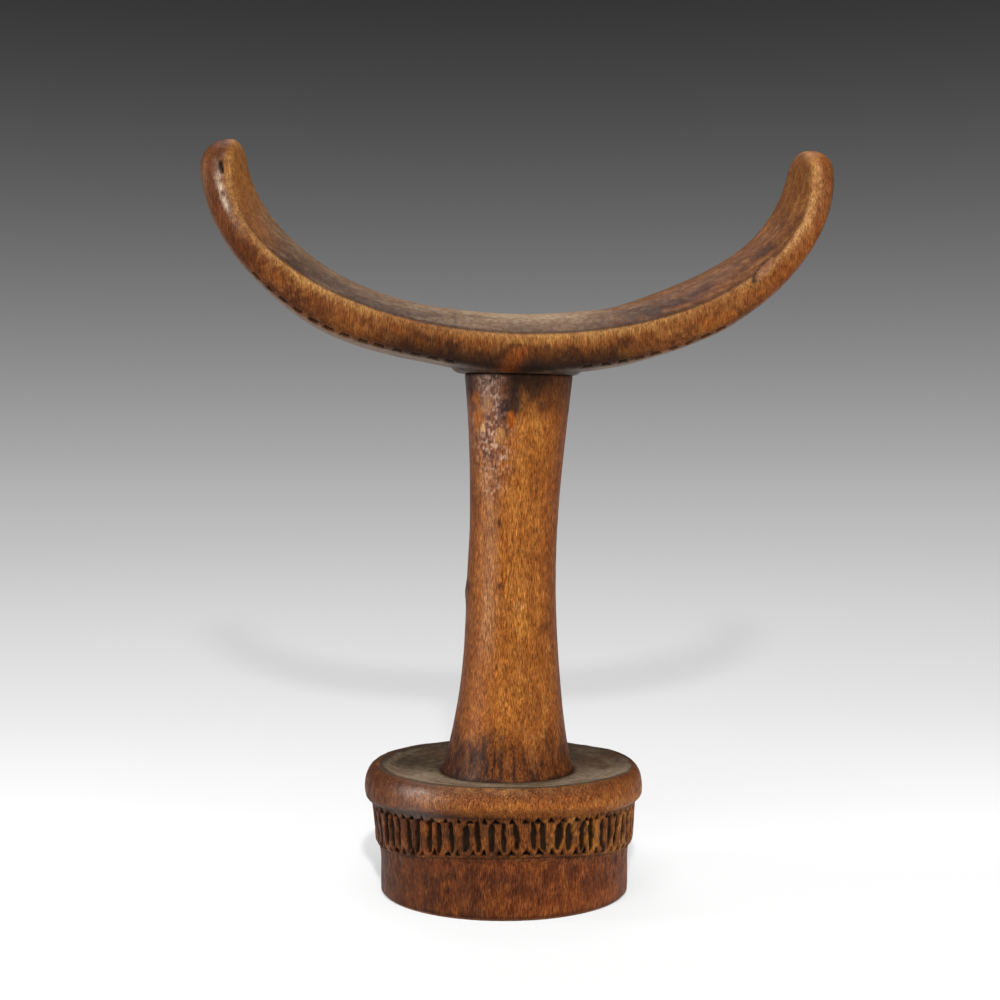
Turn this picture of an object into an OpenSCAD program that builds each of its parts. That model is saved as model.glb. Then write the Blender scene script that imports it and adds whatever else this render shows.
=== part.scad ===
// Carved wooden headrest: a crescent cradle for the neck on a waisted round stem and a drum base.
// The origin is the middle of the base's underside, +Z is up and +X runs along the cradle.
// The stem and the cradle lean a little to +X, as the hand-made original does.

/* [Base] */
// Height of the base at the crest of its rim
base_h = 32; // [30:0.5:38]
// Radius of the drum where it stands
foot_r = 30.6; // [29:0.2:31]
// Radius of the drum just under the carved band
drum_r = 30.9; // [30:0.1:31.2]
// Width of the broken edge round the underside
foot_chamfer = 0.7; // [0.3:0.1:1.5]
// Radius of the rim where it is widest
rim_r = 34.6; // [34:0.1:38]
// Radius of the crest where the rim turns into the dish
crest_r = 32.5; // [31:0.1:33]
// How far the widest part of the rim lies below the crest
rim_belly_drop = 5.7; // [4:0.1:6]
// How far the rim draws in again above the carved band
rim_undercut = 0.9; // [0.5:0.1:1.2]
// Depth of the dish at the foot of the stem
dish_depth = 2.5; // [1:0.1:4]

/* [Carved band] */
// Height of the band's lower edge above the ground
band_low_z = 13.7; // [11:0.1:14.5]
// Height of the band's upper edge above the ground
band_high_z = 23.3; // [21.5:0.1:23.5]
// Radius over the ridges at the band's lower edge
band_low_r = 32.1; // [31.8:0.1:32.4]
// Radius over the ridges at the band's upper edge
band_high_r = 32.9; // [32.6:0.1:33.2]
// Number of ridges round the band
ridges = 64; // [48:1:68]
// Depth of the gouge cut between two ridges
gouge_depth = 0.95; // [0.6:0.05:1]
// Width of that gouge at its middle
gouge_w = 2.3; // [1.6:0.1:2.4]
// Length of the gouge from point to point
gouge_len = 8.8; // [7:0.1:9]
// Width of the triangular chips above and below each ridge
chip_w = 1.8; // [1.2:0.1:2.2]
// Height of those chips
chip_h = 1.7; // [1.2:0.1:2]
// Depth of those chips
chip_depth = 0.9; // [0.5:0.1:1]

/* [Stem] */
// Length of the stem between its two shoulders
stem_len = 99.3; // [80:0.5:125]
// Radius of the stem at its foot
stem_foot_r = 16.2; // [14.5:0.1:17]
// Radius of the stem at its waist
waist_r = 11; // [9.5:0.1:12.5]
// Radius of the stem at its top
stem_top_r = 13.6; // [12.8:0.1:14.5]
// Height of the waist above the foot, as a share of the stem's length
waist_share = 0.58; // [0.45:0.01:0.7]
// How much later than a straight line the lower taper starts
foot_sweep = 2.5; // [1.5:0.1:3.5]
// How much later than a straight line the upper taper starts
top_sweep = 1.7; // [1.2:0.1:3]
// Height of the small flare where the stem meets the base
flare_h = 2.4; // [1.5:0.1:4]
// How far that flare stands out from the stem
flare_out = 0.3; // [0.2:0.1:1]
// Lean of the stem and the cradle from upright, in degrees
lean = 1.3; // [0:0.1:3]
// How far the foot of the stem stands off the middle of the base
foot_off = 0.85; // [0:0.05:2]

/* [Joints] */
// Radius of the lower tenon
low_tenon_r = 8; // [6:0.25:9.5]
// Length of the lower tenon
low_tenon_len = 17; // [12:0.5:19]
// Radius of the upper tenon
top_tenon_r = 6.5; // [5:0.25:7.5]
// Length of the upper tenon
top_tenon_len = 9; // [6:0.25:9.5]
// Room round a tenon in its mortise
fit_gap = 0.1; // [0.05:0.05:0.25]
// Room left past the tip of a wedge in its kerf
wedge_gap = 0.4; // [0.2:0.1:1]
// Thickness of a wedge at its driven end
wedge_t = 2.4; // [1.8:0.1:3]
// Thickness of a wedge at its thin end
wedge_tip_t = 1.1; // [0.8:0.1:1.5]
// Share of a tenon's length that its kerf runs up
kerf_share = 0.6; // [0.4:0.05:0.75]
// How deep the stem's foot is let into the dish
foot_housing = 0.5; // [0.3:0.1:1]

/* [Cradle] */
// Depth of the cradle from front to back at its middle
cradle_depth = 35; // [32:0.5:42]
// Depth of the cradle at its tips
tip_depth = 25; // [20:0.5:30]
// Half the width between the arms, along the crown of the seat
crown_half = 68; // [60:0.5:78]
// How far the widest part of the crown lies above the seat's lowest point
crown_rise = 41; // [34:0.5:50]
// How high the seat's crown stands above its front and back lips at the middle
seat_crown = 5.8; // [2:0.1:7]
// Height of the lips above the underside at the middle
face_h = 8.9; // [6:0.1:12]
// How square the lower edges are along the seat: 2 is round, 8 nearly sharp
edge_square = 7.5; // [3:0.5:8]
// How square the lower edges are at the tips
tip_square = 2.3; // [2:0.1:3]
// How far the lips lie outside the crown at the arms
lip_out = 4; // [2:0.1:5]
// How far the underside lies outside the lips at the arms
under_out = 7.1; // [5:0.1:9]
// How much lower than the crown's the widest part of the lips lies
lip_drop = 6.3; // [3:0.1:8]
// How much lower than the crown's the widest part of the underside lies
under_drop = 4; // [0:0.1:5]
// How far the underside swells out halfway between its lowest and its widest part
under_swell = 0.4; // [0:0.1:1]
// How far the tips stand above the widest part of the crown
tip_rise = 1.6; // [0:0.1:4]
// Length over which the tips are rounded
tip_round = 6.5; // [4:0.1:9]
// How blunt the tips are: 2 is round, less is more pointed
tip_blunt = 2.1; // [1.5:0.1:2.6]
// Where a tip's end lies between the crown and the underside: 0.5 is halfway
tip_share = 0.4; // [0.2:0.05:0.6]
// How far the cradle sits to one side of the stem's axis
cradle_side = -0.5; // [-2:0.1:2]
// Width of the cove between the stem's top and the underside
boss_cove = 3; // [1.5:0.1:3.2]
// Height of the boss between the stem's shoulder and the underside's lowest point
boss_h = 0.3; // [0.2:0.1:2]

/* [Edge notches] */
// Number of notches along each lower edge, to the left of the stem
left_notches = 13; // [8:1:14]
// Number of notches along each lower edge, to the right of the stem
right_notches = 9; // [6:1:14]
// Distance from one notch to the next along the edge
notch_pitch = 4.2; // [3.6:0.1:4.4]
// Length of a notch
notch_len = 2.4; // [1.5:0.1:3]
// Depth of a notch
notch_depth = 0.7; // [0.4:0.1:1]
// Distance from the stem's axis to the nearest notch
notch_start = 16.5; // [16:0.5:22]

/* [Hidden] */
$fn = 96;
eps = 0.01;
// How far a cutter runs on past the face that it enters by
past = 1;

// Points on the arc with centre c and radius r from angle a0 to a1 in n steps
function arc(c, r, a0, a1, n) = [for (i = [0:n]) let (a = a0 + (a1 - a0) * i / n) c + r * [cos(a), sin(a)]];

// Radius of the arc that leaves an upright line and moves in by d over the height h
function drawn_in_r(d, h) = (h * h + d * d) / (2 * d);

// Base
rim_z = base_h - rim_belly_drop;
rim_low_h = rim_z - band_high_z;
rim_low_r = drawn_in_r(rim_undercut, rim_low_h);
rim_top_r = drawn_in_r(rim_r - crest_r, rim_belly_drop);
rim_steps = 10;
rim_low_arc = arc([rim_r - rim_low_r, rim_z], rim_low_r, -asin(rim_low_h / rim_low_r), 0, rim_steps);
rim_top_arc = arc([rim_r - rim_top_r, rim_z], rim_top_r, 0, asin(rim_belly_drop / rim_top_r), rim_steps);
dish_steps = 10;
dish_foot_r = stem_foot_r + flare_out;
dish_z = base_h - dish_depth;
seat_z = dish_z - foot_housing;
// The dish falls steeply inside the crest and levels out towards the stem
dish_sweep = 2.2;
dish_curve = [for (i = [1:dish_steps]) let (t = 1 - i / dish_steps)
    [dish_foot_r + (crest_r - dish_foot_r) * t, dish_z + dish_depth * pow(t, dish_sweep)]];
band_step = band_low_r - drum_r;
wheel_r = (pow(gouge_len / 2, 2) + gouge_depth * gouge_depth) / (2 * gouge_depth);
wheel_slope = gouge_depth / (gouge_w / 2);
// Half the thickness of the wheel that cuts a gouge
wheel_half = 1.6;
band_mid_z = (band_low_z + band_high_z) / 2;
band_mid_r = (band_low_r + band_high_r) / 2;
band_tilt = atan((band_high_r - band_low_r) / (band_high_z - band_low_z));
ridge_angle = 360 / ridges;
// The upper chips start a little below the band's upper edge, the lower ones on the slope under the band
high_chip_z = band_high_z - 0.15 * chip_h;
low_chip_z = band_low_z - 0.6 * band_step;
// How far a chip's cutter reaches out from its floor
chip_reach = 4;

// Stem
waist_z = stem_len * waist_share;
stem_steps = 16;
flare_steps = 4;
top_chamfer = 0.4;
function stem_r(z) = z < waist_z
    ? waist_r + (stem_foot_r - waist_r) * pow((waist_z - z) / waist_z, foot_sweep)
    : waist_r + (stem_top_r - waist_r) * pow((z - waist_z) / (stem_len - waist_z), top_sweep);
// Outline of the stem's side from z0 up to z1, without its first point
function stem_side(z0, z1) = [for (i = [1:stem_steps])
    let (z = z0 + (z1 - z0) * i / stem_steps) [stem_r(z), z]];
low_kerf = low_tenon_len * kerf_share;
top_kerf = top_tenon_len * kerf_share;

// Cradle, in the frame of the leaning stem's upper shoulder
under_z = boss_h;
lip_z = under_z + face_h;
crown_z = lip_z + seat_crown;
wide_z = crown_z + crown_rise;
lip_half = crown_half + lip_out;
under_half = lip_half + under_out;
// The sections of the cradle turn about a hub that lies this far below the widest part of the crown
hub_drop = 4.5;
hub_z = wide_z - hub_drop;
// The boss stands a little proud of the stem's top, so the line between the two shows
boss_r = stem_top_r + 0.25;
cove_steps = 8;

// Distance from the hub to an elliptical arc, a degrees out from straight down
function reach(half, low, drop, a) = let (
    rise = wide_z - drop - low,
    up = hub_z - (wide_z - drop),
    qa = pow(sin(a) / half, 2) + pow(cos(a) / rise, 2),
    qb = -2 * up * cos(a) / (rise * rise),
    qc = pow(up / rise, 2) - 1)
    (-qb + sqrt(qb * qb - 4 * qa * qc)) / (2 * qa);
function crown_reach(a) = reach(crown_half, crown_z, 0, a);
function lip_reach(a) = reach(lip_half, lip_z, lip_drop, a);
function under_reach(a) = reach(under_half, under_z, under_drop, a) + under_swell * sin(2 * min(abs(a), 90));

// Share of the way from the middle's section to the tip's
function outward(a, power) = pow(min(abs(a) / 90, 1), power);
function half_depth(a) = (cradle_depth + (tip_depth - cradle_depth) * outward(a, 2)) / 2;
function square(a) = edge_square + (tip_square - edge_square) * outward(a, 4);

// Front half of the section at angle a, as [distance to the front, distance from the hub]:
// a shallow arc from the crown to the lip, then a rounded square from the lip to the underside's middle
crown_steps = 7;
side_steps = 9;
crown_bend = 0.6;
function crown_fall(t) = (1 - sqrt(1 - pow(crown_bend * t, 2))) / (1 - sqrt(1 - crown_bend * crown_bend));
function crown_point(a, t) = [
    half_depth(a) * t,
    crown_reach(a) + (lip_reach(a) - crown_reach(a)) * crown_fall(t)];
function side_point(a, turn) = let (n = square(a)) [
    half_depth(a) * pow(abs(cos(turn)), 2 / n),
    lip_reach(a) + (under_reach(a) - lip_reach(a)) * pow(sin(turn), 2 / n)];
function front_half(a) = concat(
    [for (i = [0:crown_steps]) crown_point(a, i / crown_steps)],
    [for (i = [1:side_steps - 1]) side_point(a, 90 * i / side_steps)],
    [[0, under_reach(a)]]);
half_count = crown_steps + side_steps + 1;
ring_count = 2 * (half_count - 1);
function ring(a) = let (half = front_half(a)) concat(
    [for (i = [0:half_count - 1]) half[i]],
    [for (i = [half_count - 2:-1:1]) [-half[i][0], half[i][1]]]);

// Stations along the arc; past the last full one the section shrinks to a rounded tip
tip_mid = (crown_half + under_half) / 2;
end_angle = 90 + atan((tip_rise + hub_drop) / tip_mid);
full_angle = end_angle - atan(tip_round / tip_mid);
arm_stations = 24;
tip_stations = 5;
arm_angles = [for (i = [-arm_stations:arm_stations]) full_angle * i / arm_stations];
tip_ways = [for (i = [1:tip_stations]) sin(90 * i / (tip_stations + 1))];
function tip_station(side, way) = [
    side * (full_angle + (end_angle - full_angle) * way),
    pow(1 - pow(way, tip_blunt), 1 / tip_blunt)];
stations = concat(
    [for (i = [tip_stations - 1:-1:0]) tip_station(-1, tip_ways[i])],
    [for (a = arm_angles) [a, 1]],
    [for (way = tip_ways) tip_station(1, way)]);
station_count = len(stations);
function place(a, y, r) = [cradle_side + r * sin(a), -y, hub_z - r * cos(a)];
function tip_reach(a) = crown_reach(a) + (under_reach(a) - crown_reach(a)) * tip_share;
function station_ring(s) = let (
    a = s[0],
    k = s[1],
    r = tip_reach(a))
    [for (p = ring(a)) place(a, p[0] * k, r + (p[1] - r) * k)];

// Notches follow the lower edges: each next angle is one pitch further along
function edge_point(a) = let (p = side_point(a, 45)) place(a, p[0], p[1]);
function edge_speed(a) = norm(edge_point(a + 0.5) - edge_point(a - 0.5));
function notch_angle(i) = i == 0
    ? asin(notch_start / under_reach(0))
    : let (before = notch_angle(i - 1)) before + notch_pitch / edge_speed(before);
function edge_slope(a) = let (step = edge_point(a + 0.5) - edge_point(a - 0.5)) atan2(step[2], step[0]);

// Frame of the leaning stem: its origin is the middle of the stem's foot
module leaning() {
    translate([foot_off, 0, seat_z]) rotate([0, lean, 0]) children();
}

// Tapered slot or wedge across a tenon, thick end at z = 0: the flanks run up a kerf of the given length,
// and the piece stops short of its root by the gap
module taper(kerf, gap, width) {
    len = kerf - gap;
    tip_t = wedge_t + (wedge_tip_t - wedge_t) * len / kerf;
    rotate([90, 0, 0]) linear_extrude(width, center = true)
        polygon([[-wedge_t / 2, 0], [wedge_t / 2, 0], [tip_t / 2, len], [-tip_t / 2, len]]);
}

// One gouge between two ridges, as left by a V-edged wheel
module gouge() {
    wheel_edge_r = wheel_r - wheel_half * wheel_slope;
    rotate([90, 0, 0]) rotate_extrude()
        polygon([[0, -wheel_half], [wheel_edge_r, -wheel_half], [wheel_r, 0], [wheel_edge_r, wheel_half],
            [0, wheel_half]]);
}

// Triangular chip, point up, driven in along -X from the ridge's face
module chip() {
    rotate([90, 0, 90]) linear_extrude(chip_reach)
        polygon([[-chip_w / 2, 0], [chip_w / 2, 0], [0, chip_h]]);
}

module base_blank() {
    rotate_extrude() polygon(concat(
        [[0, 0], [foot_r - foot_chamfer, 0], [foot_r, foot_chamfer], [drum_r, band_low_z - band_step],
        [band_low_r, band_low_z], [band_high_r, band_high_z]],
        rim_low_arc,
        [for (i = [1:rim_steps]) rim_top_arc[i]],
        dish_curve,
        [[0, dish_z]]));
}

module base() {
    color("#8a4b1f") difference() {
        base_blank();
        for (i = [0:ridges - 1]) rotate([0, 0, (i + 0.5) * ridge_angle])
            translate([band_mid_r, 0, band_mid_z]) rotate([0, band_tilt, 0])
                translate([wheel_r - gouge_depth, 0, 0]) gouge();
        for (i = [0:ridges - 1]) rotate([0, 0, i * ridge_angle]) {
            translate([band_high_r - chip_depth, 0, high_chip_z]) chip();
            translate([band_low_r - chip_depth, 0, low_chip_z]) chip();
        }
        leaning() {
            cylinder(h = base_h, r = dish_foot_r + fit_gap);
            translate([0, 0, -low_tenon_len - eps])
                cylinder(h = low_tenon_len + past, r = low_tenon_r + fit_gap);
        }
    }
}

module stem() {
    color("#9a5a26") leaning() difference() {
        rotate_extrude() polygon(concat(
            [[0, -low_tenon_len], [low_tenon_r, -low_tenon_len], [low_tenon_r, 0], [dish_foot_r, 0]],
            [for (i = [1:flare_steps]) let (t = i / flare_steps)
                [stem_r(flare_h * t) + flare_out * pow(1 - t, 2), flare_h * t]],
            stem_side(flare_h, waist_z),
            stem_side(waist_z, stem_len - top_chamfer),
            [[stem_top_r - top_chamfer, stem_len], [top_tenon_r, stem_len],
            [top_tenon_r, stem_len + top_tenon_len], [0, stem_len + top_tenon_len]]));
        translate([0, 0, -low_tenon_len]) taper(low_kerf, 0, 3 * low_tenon_r);
        translate([0, 0, stem_len + top_tenon_len]) mirror([0, 0, 1]) taper(top_kerf, 0, 3 * top_tenon_r);
    }
}

module cradle_body() {
    last = station_count - 1;
    points = concat(
        [for (s = stations) each station_ring(s)],
        [place(-end_angle, 0, tip_reach(end_angle)), place(end_angle, 0, tip_reach(end_angle))]);
    left_tip = station_count * ring_count;
    right_tip = left_tip + 1;
    polyhedron(points, concat(
        [for (i = [0:last - 1], j = [0:ring_count - 1]) let (
            k = (j + 1) % ring_count,
            a = i * ring_count + j,
            b = i * ring_count + k,
            c = a + ring_count,
            d = b + ring_count) each [[a, d, b], [a, c, d]]],
        [for (j = [0:ring_count - 1]) [left_tip, j, (j + 1) % ring_count]],
        [for (j = [0:ring_count - 1]) let (k = (j + 1) % ring_count)
            [right_tip, last * ring_count + k, last * ring_count + j]]));
}

module edge_notches() {
    for (side = [-1, 1], i = [0:(side < 0 ? left_notches : right_notches) - 1])
        let (a = side * notch_angle(i), p = edge_point(a))
            for (face = [-1, 1])
                translate([p[0], face * p[1], p[2]]) rotate([0, -edge_slope(a), 0])
                    cube([notch_len, 2 * notch_depth, 2 * notch_depth], center = true);
}

module boss() {
    rotate_extrude() polygon(concat(
        [[0, 0], [boss_r, 0]],
        arc([boss_r + boss_cove, 0], boss_cove, 180, 90, cove_steps),
        [[0, boss_cove]]));
}

module cradle() {
    color("#a8682f") leaning() translate([0, 0, stem_len]) difference() {
        union() {
            cradle_body();
            boss();
        }
        edge_notches();
        translate([0, 0, -past]) cylinder(h = top_tenon_len + past + eps, r = top_tenon_r + fit_gap);
    }
}

module lower_wedge() {
    color("#c79a63") leaning() translate([0, 0, -low_tenon_len]) intersection() {
        taper(low_kerf, wedge_gap, 3 * low_tenon_r);
        cylinder(h = low_kerf, r = low_tenon_r);
    }
}

module upper_wedge() {
    color("#c79a63") leaning() translate([0, 0, stem_len + top_tenon_len]) mirror([0, 0, 1]) intersection() {
        taper(top_kerf, wedge_gap, 3 * top_tenon_r);
        cylinder(h = top_kerf, r = top_tenon_r);
    }
}

base();
stem();
cradle();
lower_wedge();
upper_wedge();
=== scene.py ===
import math

import bpy
import numpy as np
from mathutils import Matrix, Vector


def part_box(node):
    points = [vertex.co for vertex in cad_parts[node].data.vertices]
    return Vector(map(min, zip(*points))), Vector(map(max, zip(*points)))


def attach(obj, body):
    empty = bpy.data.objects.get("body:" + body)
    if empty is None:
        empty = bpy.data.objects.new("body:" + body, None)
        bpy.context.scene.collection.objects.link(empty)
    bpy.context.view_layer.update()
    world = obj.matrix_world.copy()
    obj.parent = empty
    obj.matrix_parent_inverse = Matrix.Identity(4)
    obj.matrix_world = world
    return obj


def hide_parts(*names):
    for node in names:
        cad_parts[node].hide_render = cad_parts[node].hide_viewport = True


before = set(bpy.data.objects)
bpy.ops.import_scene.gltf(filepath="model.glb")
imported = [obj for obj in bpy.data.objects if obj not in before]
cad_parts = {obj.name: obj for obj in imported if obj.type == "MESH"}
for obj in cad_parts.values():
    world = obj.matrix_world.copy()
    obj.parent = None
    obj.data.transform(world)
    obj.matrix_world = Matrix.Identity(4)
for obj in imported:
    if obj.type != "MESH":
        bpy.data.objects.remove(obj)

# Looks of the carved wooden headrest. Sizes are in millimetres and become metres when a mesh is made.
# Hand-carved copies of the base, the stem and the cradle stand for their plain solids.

scene = bpy.context.scene
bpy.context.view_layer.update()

MM = 0.001
TURN = 2 * math.pi

# The leaning frame of the stem and the cradle
LEAN = math.radians(1.3)
FOOT_OFF = 0.85
SEAT_Z = 29.0
STEM_LEN = 99.3

# Base
BASE_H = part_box("base")[1].z / MM
RIM_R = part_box("base")[1].x / MM
FOOT_R = 30.6
DRUM_R = 30.9
FOOT_CHAMFER = 0.7
CREST_R = 32.5
RIM_Z = BASE_H - 5.7
RIM_UNDERCUT = 0.9
DISH_Z = BASE_H - 2.5
DISH_POWER = 2.2
HOUSING_R = 16.6
MORTISE_R = 8.1
MORTISE_DEPTH = 17.0
BAND_LOW_R = 32.1
BAND_HIGH_R = 32.9
INNER_RING_R = 4.0
# Steps between the points of the outline's straight sides, and numbers of points in its curves
SIDE_STEPS = (5.0, 0.35, 0.8, 0.3, 0.3)
UNDERCUT_POINTS = 6
RIM_POINTS = 12
DISH_POINTS = 20

# Carved band
RIDGES = 64
BAND_MID_Z = 18.7
BAND_HALF = 4.0
BAND_FOOT = 1.5
BAND_HEAD = 1.6
BAND_FOOT_SLOPE = (1.0, 1.2)
# Heights between which the band's edges are rounded, its wave comes and goes, and its cuts may lie
BAND_ZONE = (10, 27)
WAVE_RISE = (6, 12)
WAVE_FALL = (25, 29)
CARVED_ZONE = (9, 29)
BAND_WAVE = 1.3
BAND_HALF_WAVE = 0.45
GOUGE_DEPTH = 1.05
GOUGE_W = 1.95
CHIP_W = 2.3
LOW_CHIP_H = 1.9
HIGH_CHIP_H = 1.2
CHIP_DEPTH = 1.1

# Stem
WAIST_Z = STEM_LEN * 0.58
STEM_FOOT_R = 16.2
WAIST_R = 11.0
STEM_TOP_R = 13.6
FOOT_SWEEP = 2.5
TOP_SWEEP = 1.7
FLARE_H = 2.4
FLARE_OUT = 0.3
LOW_TENON_R = 8.0
TOP_TENON_R = 6.5
TOP_TENON_LEN = 9.0
KERF_SHARE = 0.6
KERF_T = 2.4
KERF_TIP_T = 1.1
# The carved shaft bows to the right up to LOW_BOW_TOP and again over TOP_BOW_RISE, with a nick at its left
LOW_BOW = 0.25
LOW_BOW_TOP = 45
TOP_BOW = 0.6
TOP_BOW_RISE = (50, 95)
NICK = 0.35
NICK_Z = 74.0
NICK_HALF = 2.6

# Cradle, in the frame of the stem's upper shoulder
UNDER_Z = 0.3
LIP_Z = 9.2
CROWN_Z = 15.0
WIDE_Z = 56.0
HUB_DROP = 4.5
HUB_Z = WIDE_Z - HUB_DROP
CROWN_HALF = 68.0
LIP_HALF = 72.0
UNDER_HALF = 79.1
LIP_DROP = 6.3
UNDER_DROP = 4.0
UNDER_SWELL = 0.4
MID_DEPTH = 35.0
TIP_DEPTH = 24.6
MID_SQUARE = 7.5
TIP_SQUARE = 2.3
CROWN_BEND = 0.6
TIP_RISE = 1.6
TIP_ROUND = 6.4
TIP_BLUNT = 2.05
CRADLE_SIDE = -0.5
# Where the two arms differ: how much farther out the crown, the lip and the underside lie, in bumps of
# (amount, angle of the middle, spread)
CROWN_SWELL = ((1.0, -0.82, 0.34), (0.5, -1.05, 0.2), (-0.55, 0.95, 0.3), (0.5, 0.62, 0.15))
LIP_SWELL = ((-1.3, -1.55, 0.18), (0.2, 0.8, 0.45))
UNDER_ARM_SWELL = ((0.8, -0.88, 0.2), (-0.7, -0.42, 0.22), (-0.6, 1.3, 0.2))
# How much higher the left and the right tip stand, and the share of its thickness where each one's end lies
TIP_LIFT = (-0.8, 0.6)
TIP_SHARE = (0.3, 0.4)
# How far the left tip's end tilts towards its outer side, in radians for each millimetre of thickness
TIP_TILT = 0.0014
BOSS_R = 13.85
BOSS_COVE = 3.0
NOTCHES = (13, 9)
NOTCH_PITCH = 4.2
NOTCH_LEN = 2.4
NOTCH_START = 16.5
NOTCH_DEPTH = 0.9
NOTCH_UNDER = 4
# The slit in the left tip and the long chip in the right arm's lip, at their (x, z) on the front
SLIT_AT = (-69.1, 178.0)
SLIT_HALF = (0.65, 1.8)
SLIT_LEAN = 0.16
SLIT_DEPTH = 0.6
FLAW_AT = (62.9, 153.8)
FLAW_HALF = (4.4, 1.1)
FLAW_SLOPE = math.radians(47)
FLAW_DEPTH = 0.45
# The tips are drawn in a little, to lie inside the solid
INSET = 0.25
INSET_RISE = (50, 62)


def smooth(low, high, x):
    """0 below low, 1 above high and a soft step between"""
    t = np.clip((x - low) / (high - low), 0, 1)
    return t * t * (3 - 2 * t)


def spot(*offsets_and_sizes):
    """A soft round patch: 1 in its middle. Takes offset, size pairs, one for each direction"""
    pairs = zip(offsets_and_sizes[::2], offsets_and_sizes[1::2])
    return np.exp(-sum((offset / size) ** 2 for offset, size in pairs))


# Large odd numbers that turn a cell's three places and the seed into a scattered value
SCATTER = (73856093, 19349663, 83492791)
SEED_SCATTER = 6542989


def lattice(cells, seed):
    """A repeatable value from -1 to 1 for each whole-numbered cell"""
    h = np.bitwise_xor.reduce(cells * SCATTER, axis=-1) ^ (seed * SEED_SCATTER)
    h = ((h ^ (h >> 15)) * 2246822519) & 0xFFFFFFFF
    h = ((h ^ (h >> 13)) * 3266489917) & 0xFFFFFFFF
    return ((h ^ (h >> 16)) & 0xFFFFFF) / 0x7FFFFF - 1


def noise(points, size, seed):
    """Smooth noise from -1 to 1, with bumps about as large as size, one number or three"""
    p = points / np.asarray(size, float)
    cell = np.floor(p).astype(np.int64)
    f = p - cell
    f = f * f * f * (f * (f * 6 - 15) + 10)
    total = np.zeros(len(points))
    for corner in np.ndindex(2, 2, 2):
        share = np.prod(np.where(corner, f, 1 - f), axis=1)
        total += share * lattice(cell + np.array(corner), seed)
    return total


def unevenness(points, *kinds):
    """A sum of noises, each as (depth, size, seed)"""
    return sum(depth * noise(points, size, seed) for depth, size, seed in kinds)


def rough_noise(points, size, seed, octaves=3):
    """Layers of noise, each half as large and half as strong as the one before"""
    layers = [noise(points, np.asarray(size) / 2 ** k, seed + 17 * k) / 2 ** k for k in range(octaves)]
    return sum(layers) / 1.6


def rough_noises(points, *kinds):
    """A layered noise for each (size, seed)"""
    return [rough_noise(points, size, seed) for size, seed in kinds]


def leaning(points):
    """Takes points from the stem's own upright frame to the row frame"""
    x, y, z = np.moveaxis(np.asarray(points, float), -1, 0)
    c, s = math.cos(LEAN), math.sin(LEAN)
    return np.stack([x * c + z * s + FOOT_OFF, y, z * c - x * s + SEAT_Z], -1)


def upright(points):
    """X, Y and Z of points of the row frame in the stem's own upright frame"""
    x, y, z = points.T
    x, z = x - FOOT_OFF, z - SEAT_Z
    c, s = math.cos(LEAN), math.sin(LEAN)
    return x * c - z * s, y, x * s + z * c


def lengths(path):
    """Length along a path up to each of its points"""
    return np.concatenate([[0], np.cumsum(np.linalg.norm(np.diff(path, axis=0), axis=1))])


def level_rings(columns, outline):
    """A level ring of points for each (radius, height) of the outline"""
    turn = TURN * np.arange(columns) / columns
    ring = np.column_stack([np.cos(turn), np.sin(turn), np.zeros(columns)])
    return np.stack([ring * [radius, radius, 0] + [0, 0, level] for radius, level in outline])


def soften(lines, first, last, rounds):
    """Rounds part of each line of points by drawing each point to the middle of its neighbours"""
    part = lines[..., first:last, :]
    for _ in range(rounds):
        part += (lines[..., first - 1:last - 1, :] + lines[..., first + 1:last + 1, :] - 2 * part) * 0.25


def ring_faces(rows, columns):
    """Quads between rows of points, each row closed into a ring"""
    a = np.arange(rows - 1)[:, None] * columns + np.arange(columns)
    b = np.arange(rows - 1)[:, None] * columns + (np.arange(columns) + 1) % columns
    return np.stack([a, b, b + columns, a + columns], -1).reshape(-1, 4).tolist()


def fan_faces(start, columns, pole, flip):
    """Triangles from a ring of points to its pole"""
    a = start + np.arange(columns)
    b = start + (np.arange(columns) + 1) % columns
    order = [a, b] if flip else [b, a]
    return np.stack([*order, np.full(columns, pole)], -1).tolist()


def place(name, data):
    """A new object in the scene"""
    thing = bpy.data.objects.new(name, data)
    scene.collection.objects.link(thing)
    return thing


def solid(name, points, faces):
    """A mesh from points in millimetres"""
    mesh = bpy.data.meshes.new(name)
    mesh.from_pydata((points * MM).tolist(), [], faces)
    mesh.update()
    return place(name, mesh)


def closed_mesh(name, rings, first_pole, last_pole):
    """A closed mesh from rings of points, each end drawn together in a pole"""
    rows, columns = rings.shape[:2]
    points = np.vstack([rings.reshape(-1, 3), first_pole, last_pole])
    faces = ring_faces(rows, columns)
    faces += fan_faces(0, columns, rows * columns, False)
    faces += fan_faces((rows - 1) * columns, columns, rows * columns + 1, True)
    return solid(name, points, faces)


def rows_of(rows, columns):
    """The row of each point of a closed mesh, with those of its two poles last"""
    return np.concatenate([np.repeat(np.arange(rows), columns), [0, rows - 1]])


def fetch(source, key, width):
    """All values of one kind from a mesh's list, in rows of this width"""
    values = np.empty(len(source) * width)
    source.foreach_get(key, values)
    return values.reshape(-1, width)


def points_of(piece):
    """The piece's points in millimetres"""
    return fetch(piece.data.vertices, "co", 3) / MM


def set_points(piece, points):
    piece.data.vertices.foreach_set("co", (points * MM).ravel())
    piece.data.update()


def press(piece, depth):
    """Moves each point inward by its depth, in millimetres"""
    set_points(piece, points_of(piece) - fetch(piece.data.vertex_normals, "vector", 3) * depth[:, None])


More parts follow.
